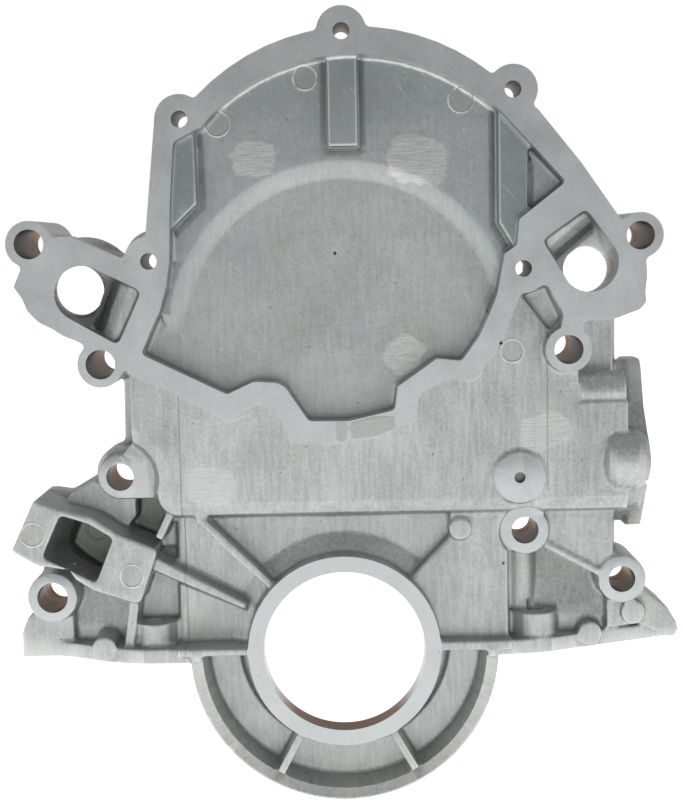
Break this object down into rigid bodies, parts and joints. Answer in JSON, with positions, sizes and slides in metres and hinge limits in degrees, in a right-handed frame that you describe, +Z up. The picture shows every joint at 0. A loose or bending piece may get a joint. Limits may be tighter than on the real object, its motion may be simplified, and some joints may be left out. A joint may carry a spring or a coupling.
{
  "type": "engine timing cover",
  "caption": "Die-cast aluminium engine timing cover with water pump flange, coolant ports, crankshaft seal collar, fuel pump pad and a half-round oil pan skirt.",
  "frame": {"origin": "on the block gasket face, at the middle of the rail over the camshaft gear", "axes": "+Y out of the block gasket face, towards the engine block; -Y is the front, which carries the water pump; +Z up as installed; +X to the right seen from the front"},
  "size_m": [0.296, 0.05, 0.3395],
  "materials": {
    "cast_aluminium": "satin as cast, milled on its gasket faces"
  },
  "bodies": {
    "root": {"timing_cover": "cast_aluminium"}
  },
  "joints": []
}
